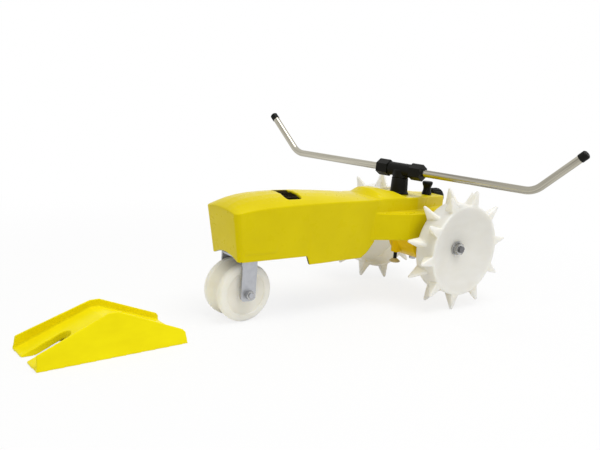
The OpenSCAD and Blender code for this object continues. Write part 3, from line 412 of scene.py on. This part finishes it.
def ring_tree():
    """Copies of one shape set round the Y axis, joined to the piece they stand on."""
    tree = bpy.data.node_groups.new("ring_of_copies", "GeometryNodeTree")
    ports = tree.interface
    ports.new_socket("Geometry", in_out="INPUT", socket_type="NodeSocketGeometry")
    ports.new_socket("Shape", in_out="INPUT", socket_type="NodeSocketObject")
    ports.new_socket("Copies", in_out="INPUT", socket_type="NodeSocketInt")
    ports.new_socket("First turn", in_out="INPUT", socket_type="NodeSocketFloat")
    ports.new_socket("Finish", in_out="INPUT", socket_type="NodeSocketMaterial")
    ports.new_socket("Geometry", in_out="OUTPUT", socket_type="NodeSocketGeometry")
    given = tree.nodes.new("NodeGroupInput")
    made = tree.nodes.new("NodeGroupOutput")
    shape = tree.nodes.new("GeometryNodeObjectInfo")
    spots = tree.nodes.new("GeometryNodePoints")
    index = tree.nodes.new("GeometryNodeInputIndex")
    step = tree.nodes.new("ShaderNodeMath")
    step.operation = "DIVIDE"
    step.inputs[0].default_value = 2 * math.pi
    turn = tree.nodes.new("ShaderNodeMath")
    turn.operation = "MULTIPLY_ADD"
    about = tree.nodes.new("FunctionNodeAxisAngleToRotation")
    about.inputs["Axis"].default_value = (0.0, 1.0, 0.0)
    copies = tree.nodes.new("GeometryNodeInstanceOnPoints")
    join = tree.nodes.new("GeometryNodeJoinGeometry")
    real = tree.nodes.new("GeometryNodeRealizeInstances")
    finish = tree.nodes.new("GeometryNodeSetMaterial")
    for a, b in (
        (given.outputs["Shape"], shape.inputs["Object"]),
        (given.outputs["Copies"], spots.inputs["Count"]),
        (given.outputs["Copies"], step.inputs[1]),
        (index.outputs["Index"], turn.inputs[0]),
        (step.outputs["Value"], turn.inputs[1]),
        (given.outputs["First turn"], turn.inputs[2]),
        (turn.outputs["Value"], about.inputs["Angle"]),
        (spots.outputs["Points"], copies.inputs["Points"]),
        (shape.outputs["Geometry"], copies.inputs["Instance"]),
        (about.outputs["Rotation"], copies.inputs["Rotation"]),
        (given.outputs["Geometry"], join.inputs["Geometry"]),
        (copies.outputs["Instances"], join.inputs["Geometry"]),
        (join.outputs["Geometry"], real.inputs["Geometry"]),
        (real.outputs["Geometry"], finish.inputs["Geometry"]),
        (given.outputs["Finish"], finish.inputs["Material"]),
        (finish.outputs["Geometry"], made.inputs["Geometry"]),
    ):
        tree.links.new(a, b)
    return tree


RING = ring_tree()


def set_round(maker, shape, copies, first_turn, finish):
    ring = maker.modifiers.new("ring", "NODES")
    ring.node_group = RING
    values = {"Shape": shape, "Copies": copies, "First turn": first_turn, "Finish": finish}
    for port in RING.interface.items_tree:
        if port.in_out == "INPUT" and port.name in values:
            ring[port.identifier] = values[port.name]


# Rear wheels, in millimetres: a dished disc and tread with two rows of ten spikes

RIM = 80.0
RIM_IN = 76.0
TIP = 106.0
TREAD = 41.0
HUB_R = 16.0
HUB_OUT = 21.0
HUB_IN = 39.0
BORE_R = 6.0
SPIKES = 10
SPIKE_HALF = 9.5
SPIKE_EDGE = 0.5
SLOPE_END = 25.0
SLOPE_HALF = 3.0
TIP_IN = 3.0
TIP_HALF = 2.0
ROOT = RIM - 2
ROW_LEAD = 0.25
WHEEL_OUTLINE = rounded_outline([
    (RIM_IN, TREAD, 1.0), (RIM, TREAD, 1.0), (RIM, 0, 1.2), (RIM_IN, 0, 1.2),
    (HUB_R, HUB_OUT, 3.0), (BORE_R, HUB_OUT, 0.6), (BORE_R, HUB_IN, 0.6), (HUB_R, HUB_IN, 1.0),
    (HUB_R + 2, HUB_OUT + 5, 2.0), (RIM_IN, 5, 2.5),
])


def spike(name, outer):
    """One spike pointing down: it rises at one edge of the tread and slopes to the middle."""
    edge, away, tip = SPIKE_EDGE, SLOPE_END, TIP_IN
    if not outer:
        edge, away, tip = TREAD - edge, TREAD - away, TREAD - tip
    lean = -TIP_HALF if outer else TIP_HALF
    points = [
        (-SPIKE_HALF, edge, ROOT), (SPIKE_HALF, edge, ROOT),
        (SLOPE_HALF, away, ROOT), (-SLOPE_HALF, away, ROOT),
        (-TIP_HALF, tip + lean, TIP), (TIP_HALF, tip + lean, TIP),
        (TIP_HALF, tip - lean, TIP), (-TIP_HALF, tip - lean, TIP),
    ]
    faces = [(0, 1, 2, 3), (4, 5, 6, 7), (0, 1, 5, 4), (1, 2, 6, 5), (2, 3, 7, 6), (3, 0, 4, 7)]
    shape = solid_of(name, [(x / 1000, -y / 1000, -z / 1000) for x, y, z in points], faces)
    round_edges(shape, 0.0011, 3, SPIKE_ANGLE)
    return shape


def rear_wheel(name, node, side):
    maker = turned(name + "_turned", WHEEL_OUTLINE)
    rows = [
        (spike(name + "_outer_spike", True), -ROW_LEAD),
        (spike(name + "_inner_spike", False), ROW_LEAD),
    ]
    for shape, lead in rows:
        set_round(maker, shape, SPIKES, lead * 2 * math.pi / SPIKES, wheel_white)
    mould(maker, grid=0.0011, passes=4, keep=0.45)
    wheel = settle(name, maker, wheel_white)
    wheel.data.shade_smooth()
    for shape, _ in rows:
        bpy.data.objects.remove(shape)
    place = Matrix.Translation((AXLE.x, side * WHEEL_OUT, AXLE.z))
    if side < 0:
        place = place @ Matrix.Scale(-1, 4, (0, 1, 0))
    wheel.data.transform(place)
    if side < 0:
        wheel.data.flip_normals()
    hand_over(wheel, node)


rear_wheel("left_wheel", "left_rear_wheel", 1)
rear_wheel("right_wheel", "right_rear_wheel", -1)


# Front wheel, in millimetres: a wide roller with a hose groove and a sunk ring in each face

ROLLER_R = 46.0
ROLLER_W = 53.0
GROOVE_H = 8.0
GROOVE_HALF = 15.0
GROOVE_STEPS = 8
RING_DEPTH = 2.0
ROLLER_FACE = [
    (ROLLER_R, 0, 5.0), (35, 0, 1.2), (33.5, RING_DEPTH, 1.5),
    (14.5, RING_DEPTH, 1.5), (13, 0, 1.0), (6, 0, 0.5),
]


def roller():
    arc = (GROOVE_HALF ** 2 + GROOVE_H ** 2) / (2 * GROOVE_H)
    groove = []
    for k in range(-GROOVE_STEPS, GROOVE_STEPS + 1):
        y = GROOVE_HALF * k / GROOVE_STEPS
        radius = ROLLER_R - GROOVE_H + arc - math.sqrt(arc ** 2 - y ** 2)
        groove.append((radius, ROLLER_W / 2 - y, 1.5 if abs(k) == GROOVE_STEPS else 0))
    far_face = [(r, ROLLER_W - d, ease) for r, d, ease in reversed(ROLLER_FACE)]
    outline = rounded_outline([*ROLLER_FACE, *far_face, *groove], 5)
    maker = turned("roller_turned", outline, 96)
    even_shading(maker)
    wheel = settle("front_roller", maker, wheel_white)
    wheel.data.transform(Matrix.Translation((FRONT_AXLE.x, ROLLER_W / 2000, FRONT_AXLE.z)))
    hand_over(wheel, "front_wheel")


roller()


# Hose nut, in millimetres: a ribbed grip round a threaded bore

NUT_R = 15.5
NUT_L = 22.0
CREST_R = 13.3
VALLEY_R = 14.0
RELIEF_R = 14.1
THREAD_END = 12.0
LIP = 18.0
INLET_R = 7.3
THREADS = 4
PITCH = 2.3
RIBS = 18
RIB_R = 1.8
RIB_OUT = 15.2


def ribbed_nut():
    outline = [(NUT_R, 0, 0.8), (14.9, 0, 0.4), (CREST_R, 1.4, 0.2)]
    for k in range(THREADS):
        d = 2.4 + PITCH * k
        outline += [
            (CREST_R, d, 0.1), (VALLEY_R, d + 0.7, 0.1),
            (VALLEY_R, d + 0.9, 0.1), (CREST_R, d + 1.6, 0.1),
        ]
    outline += [
        (CREST_R, THREAD_END, 0.1), (RELIEF_R, THREAD_END, 0.1), (RELIEF_R, LIP, 0.1),
        (INLET_R, LIP, 0.2), (INLET_R, NUT_L, 0.4), (NUT_R, NUT_L, 1.0),
    ]
    maker = turned("nut_turned", rounded_outline(outline, 3), 72)
    bar = [(0.01, 2, 0), (RIB_R, 2, 0.8), (RIB_R, NUT_L - 2, 0.8), (0.01, NUT_L - 2, 0)]
    rib = turned("nut_rib", rounded_outline(bar, 3), 12)
    rib.data.transform(Matrix.Translation((0.0, 0.0, RIB_OUT / 1000)))
    set_round(maker, rib, RIBS, math.pi / 2, black_nylon)
    even_shading(maker)
    nut = settle("hose_grip", maker, black_nylon)
    bpy.data.objects.remove(rib)
    lay = Matrix.Rotation(math.pi / 2, 4, "Z")
    nut.data.transform(Matrix.Translation((NUT_REAR, HOSE_NUT.y, HOSE_NUT.z)) @ lay)
    hand_over(nut, "hose_nut")


ribbed_nut()


# Spray tubes: drawn tube, straight from the tee, bent up and on to the nozzle.
# The tee is placed in metres, as the solids are; the tube is in millimetres.

COLUMN_X = middle_of("bearing_column").x
ARM_Z = middle_of("arm_nuts").z
ARM_TURN = math.radians(102)
ARM_REACH = 249.0
ARM_END = 101.0
ARM_START = 27.3
NOZZLE_GAP = 4
BEND = math.radians(43)
BEND_R = 38.0
BEND_STEPS = 16
TUBE_SKINS = (6.35, 5.15)
STREAK_LENGTH = 400


def tube_route():
    """(distance along, along the arm, up, slope) of the tube's middle line, in millimetres."""
    run = BEND_R * math.tan(BEND / 2)
    corner, end = ARM_REACH - run, ARM_END - run - NOZZLE_GAP
    route = []
    for k in range(9):
        x = ARM_START + (corner - ARM_START) * k / 8
        route.append((x, x, 0.0, 0.0))
    for k in range(1, BEND_STEPS + 1):
        a = BEND * k / BEND_STEPS
        x, z = corner + BEND_R * math.sin(a), BEND_R * (1 - math.cos(a))
        route.append((corner + BEND_R * a, x, z, a))
    s, x, z, a = route[-1]
    for k in range(1, 5):
        d = end * k / 4
        route.append((s + d, x + d * math.cos(a), z + d * math.sin(a), a))
    return route


def drawn_tube(name, node, turn, segments=40):
    form = bmesh.new()
    lie = form.verts.layers.float_vector.new("lie")
    place = Matrix.Translation((COLUMN_X, 0.0, ARM_Z)) @ Matrix.Rotation(ARM_TURN + turn, 4, "Z")
    skins = []
    for radius in TUBE_SKINS:
        rings = []
        for s, x, z, a in tube_route():
            ring = []
            for k in range(segments):
                t = 2 * math.pi * k / segments
                out = radius * math.cos(t)
                spot = Vector((x - out * math.sin(a), radius * math.sin(t), z + out * math.cos(a)))
                vert = form.verts.new(place @ (spot / 1000))
                vert[lie] = (math.cos(t), math.sin(t), s / STREAK_LENGTH + turn)
                ring.append(vert)
            rings.append(ring)
        for one, two in zip(rings, rings[1:]):
            for k in range(segments):
                j = (k + 1) % segments
                form.faces.new((one[k], one[j], two[j], two[k]))
        skins.append(rings)
    for end in (0, -1):
        one, two = skins[0][end], skins[1][end]
        for k in range(segments):
            j = (k + 1) % segments
            form.faces.new((one[k], one[j], two[j], two[k]))
    bmesh.ops.recalc_face_normals(form, faces=form.faces)
    mesh = bpy.data.meshes.new(name)
    form.to_mesh(mesh)
    form.free()
    mesh.shade_smooth()
    mesh.set_sharp_from_angle(angle=math.radians(40))
    set_material(mesh, bright_tube)
    hand_over(show(name, mesh), node)


drawn_tube("left_tube", "left_spray_tube", 0.0)
drawn_tube("right_tube", "right_spray_tube", math.pi)


# Castings, mouldings and small metal, in metres; the nose is measured from the rear axle

NOSE_LEAN = 0.178
NOSE_TOP = 0.178
NOSE_INSIDE = 0.4205
NOSE_REAR = 0.152
DEEP_HALF = 0.0375
DEEP_TOP = 0.172
WALL_HALF = 0.0412
FACING = 0.3


def shade_nose_inside(piece):
    """Marks the walls of the open nose, which get a near-black painted shade where little light
    reaches them.
    """
    mesh = piece.data
    mark = mesh.attributes.new("inside", "FLOAT", "POINT")
    for vert, value in zip(mesh.vertices, mark.data):
        x, y, z = vert.co.x - ORIGIN_X, abs(vert.co.y), vert.co.z
        inward = -vert.normal.y if vert.co.y > 0 else vert.normal.y
        deep = y < DEEP_HALF and z < DEEP_TOP and vert.normal.z < FACING
        wall = y < WALL_HALF and (vert.normal.z < -FACING or inward > FACING)
        within = x > NOSE_REAR and x + NOSE_LEAN * (NOSE_TOP - z) < NOSE_INSIDE
        value.value = 1.0 if within and (deep or wall) else 0.0


SHOULDER_GAP = 0.0002
STUB_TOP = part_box("bearing_column")[1].z + SHOULDER_GAP
STUB_R = 0.00975


def free_stub(tee):
    """Leaves a running gap round the stub that turns inside the column."""
    for vert in tee.data.vertices:
        out = math.hypot(vert.co.x - COLUMN_X, vert.co.y)
        if vert.co.z < STUB_TOP and out > STUB_R:
            vert.co.x = COLUMN_X + (vert.co.x - COLUMN_X) * STUB_R / out
            vert.co.y *= STUB_R / out


casting = cast_form("casting", "body_casting", yellow_enamel, grid=0.0013, passes=2, keep=0.4)
# Marks where the nose's painted shade goes.
shade_nose_inside(casting)
cast_form("case_cover", "gear_cover", cover_enamel_painted_bounce, grid=0.0014, passes=2, keep=0.6)
cast_form("ramp_shell", "shutoff_ramp", ramp_yellow, grid=0.0011, passes=3, keep=0.6)
tee = cast_form("spray_tee", "rotor_tee", black_nylon, grid=0.0007, passes=2, keep=0.5)
free_stub(tee)
cast_form("column_sleeve", "bearing_column", black_nylon, grid=0.0007, passes=2, keep=0.5)
cast_form("shift_grip", "shift_knob", black_nylon, grid=0.0006, passes=2, keep=0.6)

for node in ("arm_nuts", "left_nozzle", "right_nozzle"):
    eased(node, 0.0008, black_nylon, 3)
eased("plunger_rod", 0.0003, black_nylon)
eased("plunger_foot", 0.0006, foot_cream)
eased("front_fork", 0.0007, zinc_plate, 3)
for node in (
    "front_axle_bolt", "kingpin", "kingpin_washer", "drain_plug", "gear_cover_screws",
    "axle_spacers",
):
    eased(node, 0.0004, zinc_plate)
for node in ("wheel_nuts", "wheel_washers", "front_axle_nut"):
    eased(node, 0.0006, nut_zinc, 3)
for node in ("rear_axle", "axle_bushes", "inlet_tube", "hose_washer"):
    eased(node, 0.0004, FINISH[SLOT_OF[node]])


# Floor, light and camera

FLOOR_R = 9.0
FLOOR_DROP = 0.0004
SHADOW_NEAR = 0.35
SHADOW_FAR = 1.1
SHADOW_LIFT = 0.80
FOCAL_PX = 714.614399
PHOTO_W = 600
SENSOR = 36.0


def seen_white(tree):
    """1 for what the eye, a shine or a clear body sees directly, 0 for light on its way."""
    path = tree.nodes.new("ShaderNodeLightPath")
    eye = tree.nodes.new("ShaderNodeMath")
    eye.operation = "ADD"
    tree.links.new(path.outputs["Is Camera Ray"], eye.inputs[0])
    tree.links.new(path.outputs["Is Glossy Ray"], eye.inputs[1])
    every = tree.nodes.new("ShaderNodeMath")
    every.operation = "ADD"
    every.use_clamp = True
    tree.links.new(eye.outputs["Value"], every.inputs[0])
    tree.links.new(path.outputs["Is Transmission Ray"], every.inputs[1])
    return every.outputs["Value"]


def pale_floor():
    mesh = bpy.data.meshes.new("floor")
    form = bmesh.new()
    bmesh.ops.create_circle(form, cap_ends=True, segments=96, radius=FLOOR_R)
    form.to_mesh(mesh)
    form.free()
    material = bpy.data.materials.new("floor_paper")
    material.use_nodes = True
    tree = material.node_tree
    tree.nodes.remove(tree.nodes["Principled BSDF"])
    out = tree.nodes["Material Output"]
    paper = tree.nodes.new("ShaderNodeBsdfDiffuse")
    paper.inputs["Color"].default_value = (0.90, 0.90, 0.90, 1.0)
    white = tree.nodes.new("ShaderNodeEmission")
    coords = tree.nodes.new("ShaderNodeTexCoord")
    far = tree.nodes.new("ShaderNodeVectorMath")
    far.operation = "LENGTH"
    tree.links.new(coords.outputs["Object"], far.inputs[0])
    fade = tree.nodes.new("ShaderNodeMapRange")
    fade.interpolation_type = "SMOOTHSTEP"
    fade.inputs["From Min"].default_value = SHADOW_NEAR
    fade.inputs["From Max"].default_value = SHADOW_FAR
    fade.inputs["To Min"].default_value = SHADOW_LIFT
    tree.links.new(far.outputs["Value"], fade.inputs["Value"])
    both = tree.nodes.new("ShaderNodeMath")
    both.operation = "MULTIPLY"
    tree.links.new(fade.outputs["Result"], both.inputs[0])
    tree.links.new(seen_white(tree), both.inputs[1])
    mix = tree.nodes.new("ShaderNodeMixShader")
    tree.links.new(both.outputs["Value"], mix.inputs["Fac"])
    tree.links.new(paper.outputs["BSDF"], mix.inputs[1])
    tree.links.new(white.outputs["Emission"], mix.inputs[2])
    tree.links.new(mix.outputs["Shader"], out.inputs["Surface"])
    mesh.materials.append(material)
    floor = show("floor", mesh)
    floor.location.z = -FLOOR_DROP


def white_world(strength):
    world = bpy.data.worlds.new("studio")
    bpy.context.scene.world = world
    world.use_nodes = True
    tree = world.node_tree
    out = tree.nodes["World Output"]
    sky = tree.nodes["Background"]
    sky.inputs["Color"].default_value = (1.0, 1.0, 1.0, 1.0)
    sky.inputs["Strength"].default_value = strength
    white = tree.nodes.new("ShaderNodeBackground")
    white.inputs["Color"].default_value = (1.0, 1.0, 1.0, 1.0)
    mix = tree.nodes.new("ShaderNodeMixShader")
    tree.links.new(seen_white(tree), mix.inputs["Fac"])
    tree.links.new(sky.outputs["Background"], mix.inputs[1])
    tree.links.new(white.outputs["Background"], mix.inputs[2])
    tree.links.new(mix.outputs["Shader"], out.inputs["Surface"])


def soft_box(name, place, target, size, power):
    lamp = bpy.data.lights.new(name, "AREA")
    lamp.shape = "DISK"
    lamp.size = size
    lamp.energy = power
    stand = bpy.data.objects.new(name, lamp)
    bpy.context.scene.collection.objects.link(stand)
    stand.location = place
    stand.rotation_euler = (Vector(target) - Vector(place)).to_track_quat("-Z", "Y").to_euler()


pale_floor()
white_world(strength=0.62)
soft_box("key_light", (-0.2, 0.6, 2.4), (0.0, 0.0, 0.1), size=1.5, power=31.0)

view = bpy.data.cameras.new("view")
view.sensor_fit = "HORIZONTAL"
view.sensor_width = SENSOR
view.lens = FOCAL_PX / PHOTO_W * SENSOR
view.clip_start = 0.05
camera = bpy.data.objects.new("view", view)
bpy.context.scene.collection.objects.link(camera)
camera.matrix_world = Matrix(
    (
        (-0.802269, -0.057812, 0.594157, 0.965022 + ORIGIN_X),
        (0.592014, -0.204938, 0.779435, 0.910806),
        (0.076705, 0.977066, 0.198641, 0.373426),
        (0.0, 0.0, 0.0, 1.0),
    )
)
bpy.context.scene.camera = camera
bpy.context.scene.view_settings.view_transform = "Standard"
